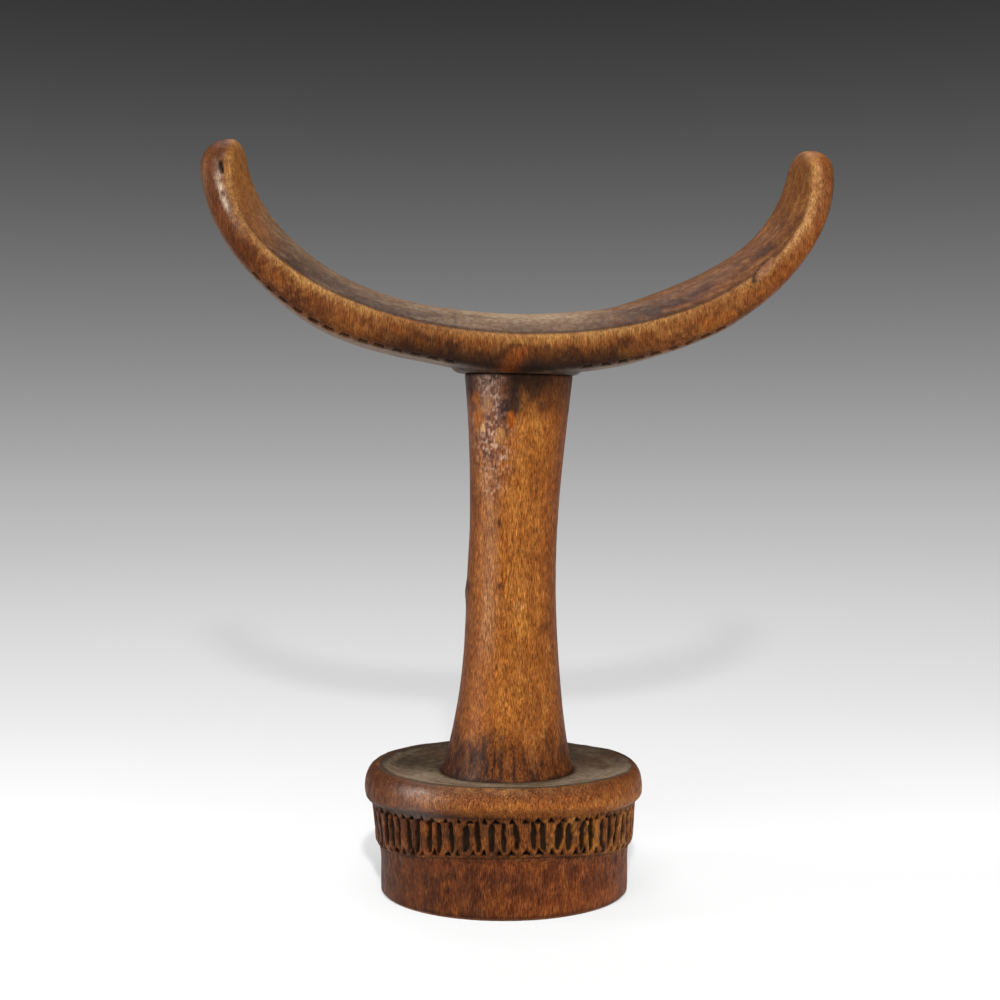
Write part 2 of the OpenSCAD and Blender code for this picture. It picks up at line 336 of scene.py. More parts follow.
def cut_away(piece, cutters):
    """Cuts closed solids out of the piece and deletes them"""
    for cutter in cutters:
        cut = piece.modifiers.new("cut", "BOOLEAN")
        cut.operation = "DIFFERENCE"
        cut.solver = "MANIFOLD"
        cut.object = cutter
    bpy.context.view_layer.update()
    ready = piece.evaluated_get(bpy.context.evaluated_depsgraph_get())
    mesh = bpy.data.meshes.new_from_object(ready)
    piece.modifiers.clear()
    old = piece.data
    piece.data = mesh
    bpy.data.meshes.remove(old)
    mesh.name = piece.name
    for cutter in cutters:
        bpy.data.objects.remove(cutter)


def store(piece, name, values):
    """Keeps one number for each point under this name"""
    layer = piece.data.attributes.new(name, "FLOAT", "POINT")
    layer.data.foreach_set("value", np.clip(values, 0, 1).astype(np.float32))


def linear(colour):
    """A colour written as #rrggbb, as linear red, green and blue"""
    parts = np.array([int(colour[i:i + 2], 16) / 255 for i in (1, 3, 5)])
    return np.where(parts <= 0.04045, parts / 12.92, ((parts + 0.055) / 1.055) ** 2.4)


class Paint:
    """Broad colours of a piece, laid over each other and kept on its points"""

    def __init__(self, count, colour):
        self.rgb = np.tile(linear(colour), (count, 1))

    def coats(self, zone, *layers):
        """Lays colours over a zone in turn, each by a strength and by masks. The zone is a mask too, or 1
        for all of the piece. Three values in brackets are a soft step of the third from the first to the
        second"""
        for colour, strength, *masks in layers:
            share = zone * strength
            for mask in masks:
                share = share * (smooth(*mask) if isinstance(mask, tuple) else mask)
            self.rgb += (linear(colour) - self.rgb) * np.clip(share, 0, 1)[:, None]

    def keep(self, piece):
        layer = piece.data.color_attributes.new("tint", "FLOAT_COLOR", "POINT")
        rgba = np.column_stack([self.rgb, np.ones(len(self.rgb))])
        layer.data.foreach_set("color", rgba.astype(np.float32).ravel())


def finish_piece(piece, node, material):
    """Smooth shading, material and body for the piece, and hides the CAD node that it stands for"""
    piece.data.polygons.foreach_set("use_smooth", [True] * len(piece.data.polygons))
    piece.data.materials.clear()
    piece.data.materials.append(material)
    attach(piece, "root")
    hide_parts(node)


# Materials

class Shader:
    """Short calls that build the nodes of a material or of the world"""

    def __init__(self, owner, output="OutputMaterial"):
        owner.use_nodes = True
        self.nodes = owner.node_tree.nodes
        self.links = owner.node_tree.links
        self.nodes.clear()
        self.output = self.node(output)
        self.place = self.node("TexCoord").outputs["Object" if output == "OutputMaterial" else "Generated"]

    def node(self, kind):
        return self.nodes.new("ShaderNode" + kind)

    def put(self, socket, value):
        if isinstance(value, bpy.types.NodeSocket):
            self.links.new(value, socket)
        else:
            socket.default_value = value

    def read(self, name, output="Fac"):
        node = self.node("Attribute")
        node.attribute_name = name
        return node.outputs[output]

    def noise(self, size, detail, seed, roughness=0.5):
        """Noise whose bumps have the size (x, y, z) in millimetres"""
        shift = self.node("Mapping")
        shift.inputs["Scale"].default_value = [1 / (MM * s) for s in size]
        shift.inputs["Location"].default_value = (seed * 7.31, seed * 3.17, seed * 5.93)
        self.links.new(self.place, shift.inputs["Vector"])
        node = self.node("TexNoise")
        node.inputs["Scale"].default_value = 1.0
        node.inputs["Detail"].default_value = detail
        node.inputs["Roughness"].default_value = roughness
        self.links.new(shift.outputs[0], node.inputs["Vector"])
        return node.outputs["Fac"]

    def span(self, value, low, high, to_low=0.0, to_high=1.0):
        """The value's range from low to high, mapped to another range and cut off there"""
        node = self.node("MapRange")
        node.interpolation_type = "SMOOTHSTEP"
        for socket, number in zip(list(node.inputs)[:5], (value, low, high, to_low, to_high)):
            self.put(socket, number)
        return node.outputs[0]

    def math(self, operation, a, b=0.0):
        node = self.node("Math")
        node.operation = operation
        self.put(node.inputs[0], a)
        self.put(node.inputs[1], b)
        return node.outputs[0]

    def times(self, a, b):
        return self.math("MULTIPLY", a, b)

    def plus(self, a, b):
        return self.math("ADD", a, b)

    def less(self, a, b):
        return self.math("SUBTRACT", a, b)

    def parts(self):
        """X, Y and Z of the place"""
        node = self.node("SeparateXYZ")
        self.put(node.inputs[0], self.place)
        return node.outputs

    def length(self, part):
        """Level distance from the parts X and Y of a place"""
        return self.math("SQRT", self.plus(*[self.times(part[axis], part[axis]) for axis in "XY"]))

    def glow(self, kind, strength):
        node = self.node(kind)
        node.inputs["Color"].default_value = (1, 1, 1, 1)
        self.put(node.inputs["Strength"], strength)
        return node.outputs[0]

    def mix(self, share, a, b):
        node = self.node("Mix")
        node.data_type = "RGBA"
        self.put(node.inputs[0], share)
        for socket, colour in zip((node.inputs[6], node.inputs[7]), (a, b)):
            self.put(socket, colour if isinstance(colour, bpy.types.NodeSocket) else (*linear(colour), 1))
        return node.outputs[2]

    def tone(self, share, colour, factors):
        """The colour times three factors, by a share"""
        node = self.node("VectorMath")
        node.operation = "MULTIPLY"
        self.put(node.inputs[0], colour)
        node.inputs[1].default_value = factors
        return self.mix(share, colour, node.outputs[0])

    def principled(self):
        """Gives a material its one surface, with inputs that set() fills"""
        self.surface = self.node("BsdfPrincipled")
        self.put(self.output.inputs["Surface"], self.surface.outputs[0])

    def set(self, name, value):
        self.put(self.surface.inputs[name], value)

    def bump(self, height, strength, distance):
        node = self.node("Bump")
        node.inputs["Strength"].default_value = strength
        node.inputs["Distance"].default_value = distance * MM
        self.put(node.inputs["Height"], height)
        self.set("Normal", node.outputs[0])

    def by_ray(self, lighting, shown):
        """One shader for the rays that light the object and another for those that show the backdrop"""
        path = self.node("LightPath").outputs
        shows = self.math("MAXIMUM", path["Is Camera Ray"], path["Is Glossy Ray"])
        choice = self.node("MixShader")
        self.put(choice.inputs[0], self.math("MAXIMUM", shows, path["Is Transmission Ray"]))
        self.put(choice.inputs[1], lighting)
        self.put(choice.inputs[2], shown)
        self.put(self.output.inputs["Surface"], choice.outputs[0])


FLECK = (0.26, 0.26, 1.5)
FIBRE = (0.17, 0.17, 2.4)
PORE = (0.24, 0.24, 0.9)
CLOUD = (5.0, 5.0, 9.0)
SMUDGE = (1.3, 1.3, 2.4)


def carved_wood(name, fleck_share, gloss):
    """Old carved wood: upright fibres, flecks and pores over the painted tint, under a satin patina"""
    material = bpy.data.materials.new(name)
    s = Shader(material)
    s.principled()
    colour = s.read("tint", "Color")
    flecked = s.times(s.read("fleck"), fleck_share)
    cloud = s.noise(CLOUD, 3, 1)
    smudge = s.noise(SMUDGE, 3, 2)
    fibre = s.noise(FIBRE, 3, 3, 0.6)
    fleck = s.noise(FLECK, 2, 4)
    pale = s.noise(FLECK, 2, 5)
    pore = s.noise(PORE, 1, 6)
    for share, factors in (
            (s.span(cloud, 0.35, 0.65, 0.0, 0.45), (0.66, 0.54, 0.45)),
            (s.span(smudge, 0.4, 0.6, 0.0, 0.7), (0.72, 0.6, 0.5)),
            (s.span(fibre, 0.36, 0.6, 0.9, 0.0), (0.52, 0.41, 0.33)),
            (s.times(s.span(fleck, 0.5, 0.62), flecked), (0.36, 0.26, 0.2)),
            (s.times(s.span(pale, 0.52, 0.66), flecked), (1.95, 1.85, 1.55)),
            (s.span(pore, 0.6, 0.68, 0.0, 0.5), (0.4, 0.3, 0.25))):
        colour = s.tone(share, colour, factors)
    s.set("Base Color", colour)
    polish = s.read("polish")
    # Roughness: grimy places duller, polished ones smoother
    wear = s.span(smudge, 0.3, 0.7, gloss - 0.06, gloss + 0.08)
    wear = s.plus(wear, s.span(fibre, 0.3, 0.7, 0.06, 0.0))
    wear = s.plus(wear, s.times(s.read("grime"), 0.35))
    wear = s.less(wear, s.times(polish, 0.26))
    s.set("Roughness", wear)
    height = s.plus(s.times(fibre, 0.5), s.times(fleck, -0.6))
    s.bump(s.plus(height, s.times(smudge, 0.9)), 0.6, 0.12)
    s.set("Specular IOR Level", s.plus(s.times(polish, 0.5), 0.11))
    return material


def split_wood(name):
    """Bare pale wood of the wedges, split along its fibres"""
    material = bpy.data.materials.new(name)
    s = Shader(material)
    s.principled()
    fibre = s.noise((0.25, 0.5, 3.0), 3, 11)
    streak = s.noise((0.8, 2.0, 9.0), 2, 12)
    colour = s.mix(s.span(fibre, 0.35, 0.65, 0.0, 0.7), "#c79a63", "#a87a45")
    colour = s.mix(s.span(streak, 0.4, 0.7, 0.0, 0.6), colour, "#8f6236")
    s.set("Base Color", colour)
    s.set("Roughness", s.span(fibre, 0.3, 0.7, 0.75, 0.55))
    s.bump(fibre, 0.5, 0.1)
    return material


# Base

BASE_COLUMNS = RIDGES * 15


def arc_points(centre, radius, start, end, count):
    a = np.linspace(start, end, count)
    return np.column_stack([centre[0] + radius * np.cos(a), centre[1] + radius * np.sin(a)])


def spread(start, end, step):
    """Points about one step apart on a straight line, without its end"""
    count = max(1, round(np.linalg.norm(end - start) / step))
    return start + (end - start) * np.arange(count)[:, None] / count


def base_outline():
    """Half the base's section as (radius, height), from the underside's middle to the housing's edge"""
    band_low = BAND_MID_Z - BAND_HALF - BAND_FOOT
    band_high = BAND_MID_Z + BAND_HALF + BAND_HEAD
    low_h = RIM_Z - band_high
    low_r = (low_h ** 2 + RIM_UNDERCUT ** 2) / (2 * RIM_UNDERCUT)
    top_d, top_h = RIM_R - CREST_R, BASE_H - RIM_Z
    top_r = (top_h ** 2 + top_d ** 2) / (2 * top_d)
    corners = np.array([
        (INNER_RING_R, 0), (FOOT_R - FOOT_CHAMFER, 0), (FOOT_R, FOOT_CHAMFER),
        (DRUM_R, band_low - BAND_FOOT_SLOPE[0]), (BAND_LOW_R, band_low + BAND_FOOT_SLOPE[1]),
        (BAND_HIGH_R, band_high)])
    sides = [spread(*side) for side in zip(corners, corners[1:], SIDE_STEPS)]
    low = arc_points((RIM_R - low_r, RIM_Z), low_r, -math.asin(low_h / low_r), 0, UNDERCUT_POINTS)
    top = arc_points((RIM_R - top_r, RIM_Z), top_r, 0, math.asin(top_h / top_r), RIM_POINTS)
    t = np.linspace(1, 0, DISH_POINTS)
    dish_r = HOUSING_R + (CREST_R - HOUSING_R) * t
    dish = np.column_stack([dish_r, DISH_Z + (BASE_H - DISH_Z) * t ** DISH_POWER])
    return np.vstack([*sides, corners[-1:], low[1:], top[1:], dish[1:]])


def band_height(turn):
    """Middle height and half length of the ridges at a place round the band: it dips towards the sides"""
    wave = -np.cos(2 * turn)
    return BAND_MID_Z + BAND_WAVE * wave, BAND_HALF - BAND_HALF_WAVE * wave


def band_cuts(points, turn, r):
    """How deep the carved band is cut at each point, and how near each point is to a chip"""
    z = points[:, 2]
    wobble = unevenness(points, (0.24, (1.3, 1.3, 1.6), 35), (0.12, (0.6, 0.6, 0.8), 37))
    ragged = 0.2 * noise(points, (1.0, 1.0, 1.4), 36)
    middle, half = band_height(turn)
    share = (turn / TURN * RIDGES) % RIDGES
    picker = np.random.default_rng(5)
    shift = picker.uniform(-0.15, 0.15, RIDGES)
    wide = picker.uniform(0.8, 1.2, RIDGES)
    long = picker.uniform(0.88, 1.05, RIDGES)
    deep = picker.uniform(0.75, 1.15, RIDGES)
    slant = picker.uniform(-0.07, 0.07, RIDGES)
    chip_wide = picker.uniform(0.65, 1.2, (2, RIDGES))
    chip_tall = picker.uniform(0.65, 1.2, (2, RIDGES))
    chip_shift = picker.uniform(-0.12, 0.12, (2, RIDGES))
    pitch = TURN * r / RIDGES
    depth = np.zeros(len(turn))
    chips = np.zeros(len(turn))
    for neighbour in (-1, 0, 1):
        k = (np.floor(share).astype(int) + neighbour) % RIDGES
        x = (share - (np.floor(share) + neighbour) - 0.5 - shift[k]) * pitch
        h = (z - middle) / (half * long[k]) + ragged
        x = x - slant[k] * (z - middle) + wobble
        room = np.clip(1 - np.abs(h) ** 4.5, 0, 1) ** 0.5 * GOUGE_W * wide[k] / 2
        inside = np.clip(1 - np.abs(x) / np.maximum(room, 0.05), 0, 1)
        cut = GOUGE_DEPTH * deep[k] * np.sin(inside * math.pi / 2) * smooth(0, 0.5, room)
        depth = np.maximum(depth, cut)
    for level, sign, tall, drop in ((0, -1, LOW_CHIP_H, 0.9), (1, 1, HIGH_CHIP_H, 0.2)):
        for neighbour in (-1, 0, 1):
            cell = np.floor(share + 0.5).astype(int) + neighbour
            k = cell % RIDGES
            x = (share - cell - chip_shift[level, k]) * pitch + wobble
            foot = middle + sign * (half - 0.1) - drop
            h = (z - foot) / (tall * chip_tall[level, k])
            room = CHIP_W * chip_wide[level, k] / 2 * (1 - h)
            inside = np.clip(1 - np.abs(x) / np.maximum(room, 0.05), 0, 1) * (h < 1)
            wall = smooth(-0.18, 0.12, h)
            cut = CHIP_DEPTH * np.minimum(1, inside * 1.8) * wall * (1 - 0.45 * np.clip(h, 0, 1))
            depth = np.maximum(depth, cut)
            chips = np.maximum(chips, np.minimum(1, inside * 3) * wall)
    return np.stack([depth, chips])


def make_base():
    outline = base_outline()
    rows = len(outline)
    height = outline[:, 1]
    outside = outline[:, 0] > BAND_LOW_R - 2
    band_rows = np.flatnonzero(outside & (height > BAND_ZONE[0]) & (height < BAND_ZONE[1]))
    soften(outline, band_rows[0], band_rows[-1], 3)
    crest_row = int(np.argmax(height))
    soften(outline, crest_row - 4, crest_row + 5, 8)
    r, z = np.repeat(outline, BASE_COLUMNS, axis=0).T
    around = np.tile(TURN * np.arange(BASE_COLUMNS) / BASE_COLUMNS, rows)
    # The dish runs from the base's own axis to that of the leaning stem
    inward = np.repeat(np.arange(rows) > crest_row, BASE_COLUMNS) * (1 - smooth(HOUSING_R, CREST_R - 2, r))
    off = leaning([[0, 0, DISH_Z - SEAT_Z]])[0]
    wave = (band_height(around)[0] - BAND_MID_Z) * smooth(*WAVE_RISE, z)
    wave *= (1 - smooth(*WAVE_FALL, z)) * (r > DRUM_R - 1)
    points = np.column_stack([r * np.cos(around) + inward * off[0], r * np.sin(around), z + wave])
    inner = level_rings(BASE_COLUMNS, [(HOUSING_R, 0), (MORTISE_R, 0), (MORTISE_R, -MORTISE_DEPTH)])
    rings = np.concatenate([points.reshape(rows, BASE_COLUMNS, 3), leaning(inner)])
    piece = closed_mesh("base_wood", rings, [0, 0, 0], leaning([0, 0, -MORTISE_DEPTH]))

    points = points_of(piece)
    x, y, z = points.T
    around = np.arctan2(y, x) % TURN
    row = rows_of(len(rings), BASE_COLUMNS)
    outer = (row >= np.flatnonzero(outline[:, 0] >= FOOT_R)[0]) & (row <= crest_row)
    in_band = outer & (z > CARVED_ZONE[0]) & (z < CARVED_ZONE[1])
    cut, chips = band_cuts(points, around, np.maximum(np.hypot(x, y), 1)) * in_band
    middle, half = band_height(around)
    groove = spot(z - (middle - half - BAND_FOOT), 0.28) * outer
    groove *= 0.45 * (0.6 + 0.5 * noise(points, 9, 41))
    shown = outer | (row > crest_row) & (row < rows)
    dents = unevenness(points, (0.22, 13, 31), (0.07, 4, 32), (0.03, (0.8, 0.8, 3), 33))
    ridge_wear = 0.1 * noise(points, (1.1, 1.1, 2.2), 34) * in_band
    level = smooth(0, 3, z)
    press(piece, cut + groove + (dents + ridge_wear) * shown * level)
    paint_base(piece, row, rows, crest_row, outer, cut, chips, groove)
    return piece


def paint_base(piece, row, rows, crest_row, outer, cut, chips, groove):
    points = points_of(piece)
    x, y, z = points.T
    around = np.arctan2(y, x)
    middle, half = band_height(around)
    right = np.cos(around)
    blotch, patch, fine, streak = rough_noises(
        points, ((9, 9, 7), 51), ((4, 4, 3.5), 53), ((1.6, 1.6, 2.6), 52), ((1.1, 1.1, 5.0), 55))
    paint = Paint(len(points), "#955c2e")
    rim = outer & (z > middle + half)
    drum = outer * (1 - smooth(middle - half - 2.0, middle - half - 1.0, z))
    dish = (row > crest_row - 1) & (row < rows)
    up_rim = z - middle - half
    crest = smooth(RIM_Z + 3, RIM_Z + 5, z) * spot(right, 0.4)
    under_rim = up_rim + 0.4 * patch - 0.9 * smooth(-0.2, 0.6, -right)
    # Rim: dark and reddish at the left and over its crest, golden at the right, with painted shade and
    # grime underneath
    paint.coats(rim,
        ("#a9692f", 0.6, (-0.2, 0.7, right)),
        ("#6e4022", 0.45, (0, 0.6, blotch)),
        ("#5a2c14", 0.85, (0.1, 0.9, -right), (RIM_Z + 0.5, RIM_Z + 4, z + patch)),
        ("#4f2a12", 0.65, (0.45, 1, -right)),
        ("#b27438", 0.35, (0.1, 0.7, fine)),
        ("#5f3a20", 0.75, (RIM_Z + 2.2, RIM_Z + 5.0, z)),
        # Painted light: the rim's lower, downward-facing curve made lighter in the middle and at the right
        ("#d28a44", 0.8, spot(up_rim - 3.0, 1.4), (-0.6, 0.1, right)),
        ("#c0925a", 0.6, crest, (-0.5, 0.2, fine)),
        ("#4a2812", 0.5, (0.2, 0.7, -right), (-0.3, 0.3, streak)),
        # Painted shade with grime under the rim's lower edge, reaching higher at the left
        ("#2c1d14", 0.85, (1.4, 0.3, under_rim)),
        # Painted highlight: a pale patch on the rim's front left
        ("#c89a74", 0.4, spot(around + 2.2, 0.22), spot(z - 28.5, 1.8)))
    # Drum: mottled red-brown with a dark foot
    paint.coats(drum,
        ("#794425", 0.95),
        ("#93542a", 0.75, (-0.1, 0.6, patch + 0.25 * right)),
        ("#4e2b1b", 0.7, (-0.05, 0.5, -blotch - 0.15 * right)),
        ("#b06a30", 1, (0.15, 0.6, fine), 0.45 + 0.15 * right),
        ("#4a2717", 0.5, (0.15, 0.6, -fine)),
        ("#3f2113", 0.45, (0.1, 0.6, streak)),
        ("#b46c34", 1, (0.15, 0.6, -streak), 0.35 + 0.15 * right),
        ("#4e2d12", 0.6, (0.35, 1, -right)),
        ("#a05f2c", 0.45, spot(right + 0.1, 0.2), (-0.2, 0.4, -patch)),
        ("#a05c2a", 0.5, (8, 3, z), (-0.4, 0.3, right)),
        ("#2c1c13", 0.85, (1.3, 0.1, z)))
    # Band: brown ridges, olive-black hollows
    band = outer * smooth(middle - half - 2.2, middle - half - 1.0, z)
    band = band * (1 - smooth(middle + half + 0.2, middle + half + 1.0, z))
    paint.coats(band,
        ("#8a5428", 0.92),
        ("#c98a40", 0.8, (-0.1, 0.6, patch + 0.4 * right)),
        ("#4a2818", 0.7, (-0.1, 0.5, patch - 0.5 * right)),
        ("#33211a", 0.5, (0.1, 0.5, -fine)))
    paint.coats(1,
        ("#2a2116", 0.95, outer, (0.12, 0.5, cut)),
        ("#15120d", 0.95, chips, (0.1, 0.4, cut)),
        ("#35231a", 0.7, (0.05, 0.25, groove)))
    # Dish: a thin grey-olive film, paler towards the front, streaked round the stem, dark along the crest,
    # with two painted reflections
    edge = np.hypot(x - FOOT_OFF, y)
    round_streak = rough_noise(np.column_stack([around * 22, edge * 2.2, z]), (9, 3.0, 4), 54)
    film = dish * smooth(CREST_R + 0.4, CREST_R - 1.4, edge)
    smudge = spot(edge - 28.0, 2.6, around + 2.35, 0.55) + 0.8 * spot(edge - 28.5, 2.0, around + 0.6, 0.5)
    paint.coats(film,
        ("#3e382b", 0.95),
        ("#584a3a", 0.5, (0.2, 0.9, right)),
        ("#958b78", 0.85, (-9, 11, -y + 3 * patch)))
    paint.coats(dish,
        ("#342c20", 0.55, (0, 0.5, round_streak)),
        ("#857b69", 0.35, (0.1, 0.6, -round_streak)),
        # Painted reflections: two pale patches near the dish's front edge, left and right of the stem
        ("#a69c88", 0.55, smudge, (-0.5, 0.4, patch)),
        ("#59351f", 0.4, (0, 0.6, -blotch)),
        ("#2e2218", 0.8, spot(edge - (CREST_R - 1.0), 0.8)),
        ("#3c2417", 0.8, spot(edge - HOUSING_R, 1.2)))
    # A dark knot low on the drum and a short crack in the rim, both on the front
    front = y < 0
    paint.coats(front,
        ("#2a1812", 0.8, spot(x - 15.0, 0.9, z - 11.4, 0.7)),
        ("#22140e", 0.8, spot(x - 12.2, 0.22, z - 26.4, 1.1)))
    paint.keep(piece)
    store(piece, "fleck", 1 - 0.65 * dish - 0.8 * smooth(0.2, 0.7, cut))
    store(piece, "grime", smooth(0.15, 0.6, cut) + 0.15 * dish)
    store(piece, "polish", 0.75 * rim * spot(around + 2.27, 0.2))


# Stem

STEM_COLUMNS = 280
# The rows of points lie closer together near the foot
FOOT_TOP = 6
FOOT_ROWS = 24
SHAFT_ROWS = 236
# Flakes of patina near the stem's top: place across, depth below the top, width, height, colour
FLAKES = (
    (-0.78, 6.0, 0.08, 2.3, "#b36a22"),
    (-0.72, 11.0, 0.12, 3.1, "#b8701f"),
    (-0.66, 13.2, 0.05, 1.0, "#f0cf96"),
    (-0.1, 11.3, 0.09, 2.2, "#b8661e"),
    (-0.56, 7.6, 0.13, 2.2, "#b8865a"),
    (-0.3, 15.5, 0.1, 2.3, "#c08c50"))


def stem_radius(z):
    below = np.clip((WAIST_Z - z) / WAIST_Z, 0, 1)
    above = np.clip((z - WAIST_Z) / (STEM_LEN - WAIST_Z), 0, 1)
    flare = np.clip(1 - z / FLARE_H, 0, 1)
    return (WAIST_R + (STEM_FOOT_R - WAIST_R) * below ** FOOT_SWEEP
            + (STEM_TOP_R - WAIST_R) * above ** TOP_SWEEP + FLARE_OUT * flare ** 2)


def kerf_cutter(name, start, length, direction, width):
    """A wedge-shaped solid that cuts the kerf into a tenon from its end"""
    low = KERF_T / 2
    tip = KERF_TIP_T / 2
    ends = [(-low, -direction), (low, -direction), (tip, direction * length), (-tip, direction * length)]
    points = [[x, side * width, start + z] for side in (-1, 1) for x, z in ends]
    faces = [(0, 1, 2, 3), (7, 6, 5, 4), (0, 4, 5, 1), (1, 5, 6, 2), (2, 6, 7, 3), (3, 7, 4, 0)]
    return solid(name, leaning(points), faces)


def make_stem():
    upper = np.linspace(FOOT_TOP, STEM_LEN - 0.4, SHAFT_ROWS)[1:]
    z = np.concatenate([np.linspace(0, FOOT_TOP, FOOT_ROWS), upper, [STEM_LEN - 0.2, STEM_LEN]])
    r = stem_radius(z)
    r[-2:] -= [0.15, 0.4]
    low = [(LOW_TENON_R, -MORTISE_DEPTH), (LOW_TENON_R, 0)]
    top = [(TOP_TENON_R, STEM_LEN), (TOP_TENON_R, STEM_LEN + TOP_TENON_LEN)]
    outline = np.vstack([low, np.column_stack([r, z]), top])
    rings = level_rings(STEM_COLUMNS, outline)
    shaft = np.concatenate([[0, 0], np.ones(len(z)), [0, 0]])[:, None]
    level = rings[:, :, 2]
    bow = LOW_BOW * np.sin(np.pi * np.clip(level / LOW_BOW_TOP, 0, 1))
    bow += TOP_BOW * smooth(*TOP_BOW_RISE, level)
    rings[:, :, 0] += bow * shaft
    piece = closed_mesh("stem_wood", leaning(rings), leaning([0, 0, -MORTISE_DEPTH]),
                        leaning([0, 0, STEM_LEN + TOP_TENON_LEN]))
    points = points_of(piece)
    row = rows_of(len(outline), STEM_COLUMNS)
    shaft = ((row > 2) & (row < len(outline) - 4)).astype(float)
    dents = unevenness(points, (0.16, (7, 7, 24), 61), (0.05, (2.2, 2.2, 9), 62), (0.02, (0.6, 0.6, 4), 63))
    x, y, z = points.T
    scored = 0.12 * noise(points, (1.0, 1.0, 9), 64) * (1 - smooth(4, 16, z - SEAT_Z))
    nick = -NICK * spot(z - NICK_Z, NICK_HALF) * smooth(0.8, 1.0, -np.cos(np.arctan2(y, x)))
    press(piece, (dents + scored + nick) * shaft)
    cut_away(piece, [
        kerf_cutter("low_kerf", -MORTISE_DEPTH, MORTISE_DEPTH * KERF_SHARE, 1, 2 * LOW_TENON_R),
        kerf_cutter("top_kerf", STEM_LEN + TOP_TENON_LEN, TOP_TENON_LEN * KERF_SHARE, -1, 2 * TOP_TENON_R)])
    paint_stem(piece)
    return piece


def paint_stem(piece):
    points = points_of(piece)
    x, y, z = points.T
    axis = FOOT_OFF + (z - SEAT_Z) * math.tan(LEAN)
    turn = np.arctan2(y, x - axis) + math.radians(EYE_TURN)
    side = np.cos(turn)
    front = smooth(0.0, 0.2, -np.sin(turn))
    down = SEAT_Z + STEM_LEN - z
    up = z - SEAT_Z
    blotch, patch, fine, streak, thin_streak = rough_noises(
        points, ((6, 6, 12), 71), ((3.2, 3.2, 4.0), 72), ((1.1, 1.1, 1.3), 75), ((1.5, 1.5, 18), 73),
        ((0.8, 0.8, 9), 74))
    highlight_streak = spot(side + 0.5, 0.17) * front * smooth(-0.5, 0.5, thin_streak + 0.4)
    knots = spot(side + 0.32, 0.06, z - 91.7, 1.0) + spot(side + 0.25, 0.1, z - 76.5, 0.9)
    edge = down + 4.0 * patch + 1.5 * fine
    crazing_and_glints = (1 - smooth(18, 34, down + 6 * patch)) * spot(side + 0.45, 0.32) * front
    crack = 1 - smooth(0.02, 0.2, np.abs(rough_noise(points, (1.5, 1.5, 1.7), 76, 2)))
    speck = noise(points, (0.6, 0.6, 0.6), 77)
    right_of_middle = smooth(-0.2, 0.05, side) * (1 - 0.75 * smooth(0.45, 0.75, side))
    foot = 1 - smooth(5, 14, up + 4 * patch)
    paint = Paint(len(points), "#b3702f")
    paint.coats(1,
        ("#965823", 0.6, (0, 0.6, blotch)),
        ("#cd9048", 0.6, (0, 0.7, streak)),
        ("#8e5426", 0.5, (0.05, 0.7, -streak)),
        ("#c98a40", 0.4, front, spot(side - 0.15, 0.35), (90, 80, down)),
        ("#8f542d", 0.7, (0.55, 1, side)),
        ("#6e3e1c", 0.75, (0.6, 0.95, -side)))
    # A pale streak left of the middle that is a painted highlight, with a small knot and two pale spots
    paint.coats(1,
        # Painted highlight: the pale streak left of the middle
        ("#c29a72", 0.45, highlight_streak, (16, 26, down), (22, 40, up)),
        ("#5c3620", 0.85, front, knots + 0.8 * spot(side - 0.72, 0.14, z - 66.0, 1.3)),
        ("#3a1f16", 0.8, spot(side + 0.97, 0.06, z - 75.5, 1.8)))
    paint.coats(front,
        ("#d8b98c", 0.8, spot(side + 0.45, 0.13, z - 74.0, 1.7), (-0.2, 0.5, fine)),
        ("#d2a877", 0.6, spot(side - 0.15, 0.1, z - 71.5, 0.8)))
    # Under the cradle: red-brown crazed patina at the left with painted glints and a painted pale shine at
    # its top, a black blotch, olive-brown at the right
    paint.coats(1, ("#8a5a42", 0.75, (24, 9, edge + 16 * smooth(-0.4, 0.3, side))))
    paint.coats(crazing_and_glints,
        ("#b88a74", 0.8, (0, 0.35, fine)),
        ("#cfa48e", 0.6, (9, 4, down), spot(side + 0.6, 0.2)),
        ("#3a1c1c", 0.9, crack),
        ("#ecd2c0", 0.75, (0.28, 0.55, speck)),
        ("#2e1516", 0.5, (0.35, 0.6, -speck)))
    paint.coats(1,
        ("#5a331a", 0.6, (13, 6, edge), (0, 0.4, side)),
        ("#241a18", 0.95, (15, 8, edge), spot(side + 0.02, 0.18), front),
        ("#241a1c", 0.8, spot(side + 0.2, 0.16, down - 9 + 3 * patch, 3.4), front),
        ("#33200f", 0.9, (8.5, 2.5, edge), right_of_middle),
        ("#2e2018", 0.8, (9, 3, down), (0.72, 0.88, -side)),
        ("#b8703a", 0.6, front, spot(side + 0.02, 0.12), spot(down - 17.0, 2.5)),
        # Painted shade: a thin dark line at the stem's top, under the cradle
        ("#2e2018", 0.8, (1, 0.1, down)))
    for at, depth, wide, tall, colour in FLAKES:
        flake = spot(side - at, wide, down - depth, tall) + 0.3 * fine
        paint.coats(front, (colour, 0.9, (0.25, 0.6, flake)))
    # Foot: dark and reddish, with upright streaks
    paint.coats(foot,
        ("#70401f", 0.75),
        ("#4a2b1c", 0.75, (0.1, 0.7, -side)),
        ("#3f2a22", 0.85, (-0.05, 0.4, thin_streak - 0.2 * side)),
        ("#a9774e", 0.45, (0.15, 0.6, -thin_streak)))
    paint.coats(1, ("#2c1a12", 0.8, (1.6, 0.3, up + fine)))
    paint.keep(piece)
    store(piece, "fleck", 1 - 0.4 * (1 - smooth(8, 16, edge)))
    store(piece, "grime", 0.3 * foot)
    store(piece, "polish", 0.4 * (1 - smooth(14, 30, down)) * spot(side + 0.45, 0.25) + 0.35 * highlight_streak)


# Cradle

